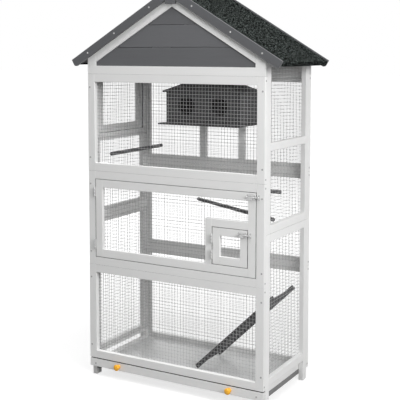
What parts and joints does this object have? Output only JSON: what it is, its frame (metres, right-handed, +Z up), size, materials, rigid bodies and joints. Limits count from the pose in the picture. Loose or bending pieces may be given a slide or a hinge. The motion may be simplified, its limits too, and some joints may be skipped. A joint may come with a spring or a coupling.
{
  "type": "bird aviary",
  "caption": "Tall white timber bird aviary with mesh panels, felted ridge roof, nest box, perches, ladder, hinged doors with bolts, and a pull out litter tray.",
  "frame": {"origin": "middle of the footprint's bounding box, on the floor", "axes": "+X to the cage's right as seen from the front, +Y to the back, +Z up"},
  "size_m": [0.8684, 0.4292, 1.4675],
  "materials": {
    "white_timber": "satin",
    "dark_timber": "satin",
    "grey_timber": "matte",
    "runner_timber": "matte",
    "board_timber": "matte",
    "tray_board": "satin",
    "varnished_timber": "gloss",
    "roofing_felt": "matte",
    "mesh_wire": "satin",
    "zinc_steel": "satin"
  },
  "bodies": {
    "cage": {"front_lower_frame": "white_timber", "front_middle_frame": "white_timber", "front_upper_frame": "white_timber", "front_gable_frame": "white_timber", "back_lower_frame": "white_timber", "back_middle_frame": "white_timber", "back_upper_frame": "white_timber", "back_gable_frame": "white_timber", "left_lower_frame": "white_timber", "left_upper_frame": "white_timber", "right_lower_frame": "white_timber", "right_upper_frame": "white_timber", "nest_box_posts": "white_timber", "eave_battens": "white_timber", "front_gable_boards": "dark_timber", "back_gable_boards": "dark_timber", "roof_fascias": "dark_timber", "apex_blocks": "dark_timber", "front_lower_net": "mesh_wire", "front_upper_net": "mesh_wire", "back_net": "mesh_wire", "left_net": "mesh_wire", "right_net": "mesh_wire", "nest_base": "grey_timber", "nest_walls": "grey_timber", "nest_roof": "grey_timber", "perches": "grey_timber", "ladder_rails": "grey_timber", "ladder_rungs": "grey_timber", "tray_runners": "runner_timber", "roof_boards": "board_timber", "roof_felt": "roofing_felt", "main_hinge_fixed_leaves": "zinc_steel", "side_hinge_fixed_leaves": "zinc_steel", "main_bolt_keeper": "zinc_steel", "side_bolt_keeper": "zinc_steel", "frame_screws": "zinc_steel"},
    "main_door": {"main_door_frame": "white_timber", "main_door_net": "mesh_wire", "main_door_corner_net": "mesh_wire", "main_hinge_door_leaves": "zinc_steel", "small_hinge_fixed_leaves": "zinc_steel", "main_bolt_plate": "zinc_steel", "small_bolt_keeper": "zinc_steel"},
    "small_door": {"small_door_frame": "white_timber", "small_door_net": "mesh_wire", "small_hinge_door_leaves": "zinc_steel", "small_bolt_plate": "zinc_steel"},
    "side_door": {"side_door_frame": "white_timber", "side_door_net": "mesh_wire", "side_hinge_door_leaves": "zinc_steel", "side_bolt_plate": "zinc_steel"},
    "main_bolt_slider": {"main_bolt_rod": "zinc_steel"},
    "small_bolt_slider": {"small_bolt_rod": "zinc_steel"},
    "side_bolt_slider": {"side_bolt_rod": "zinc_steel"},
    "tray": {"tray_front": "white_timber", "tray_walls": "white_timber", "tray_floor": "tray_board", "tray_knobs": "varnished_timber", "tray_screws": "zinc_steel"}
  },
  "joints": [
    {"name": "main_door_hinge", "type": "hinge", "parent": "cage", "child": "main_door", "pos_m": [-0.3365, -0.1981, 0.6145], "axis": [0, 0, -1], "range_deg": [0, 110]},
    {"name": "small_door_hinge", "type": "hinge", "parent": "main_door", "child": "small_door", "pos_m": [0.1655, -0.1981, 0.56375], "axis": [0, 0, -1], "range_deg": [0, 110]},
    {"name": "side_door_hinge", "type": "hinge", "parent": "cage", "child": "side_door", "pos_m": [-0.374, 0.1544, 1.059], "axis": [0, 0, -1], "range_deg": [0, 100]},
    {"name": "main_bolt_slide", "type": "slide", "parent": "main_door", "child": "main_bolt_slider", "axis": [1, 0, 0], "range_m": [-0.012, 0.0045]},
    {"name": "small_bolt_slide", "type": "slide", "parent": "small_door", "child": "small_bolt_slider", "axis": [1, 0, 0], "range_m": [-0.012, 0.0045]},
    {"name": "side_bolt_slide", "type": "slide", "parent": "side_door", "child": "side_bolt_slider", "axis": [0, -1, 0], "range_m": [-0.012, 0.0045]},
    {"name": "tray_slide", "type": "slide", "parent": "cage", "child": "tray", "axis": [0, -1, 0], "range_m": [0, 0.3]}
  ]
}
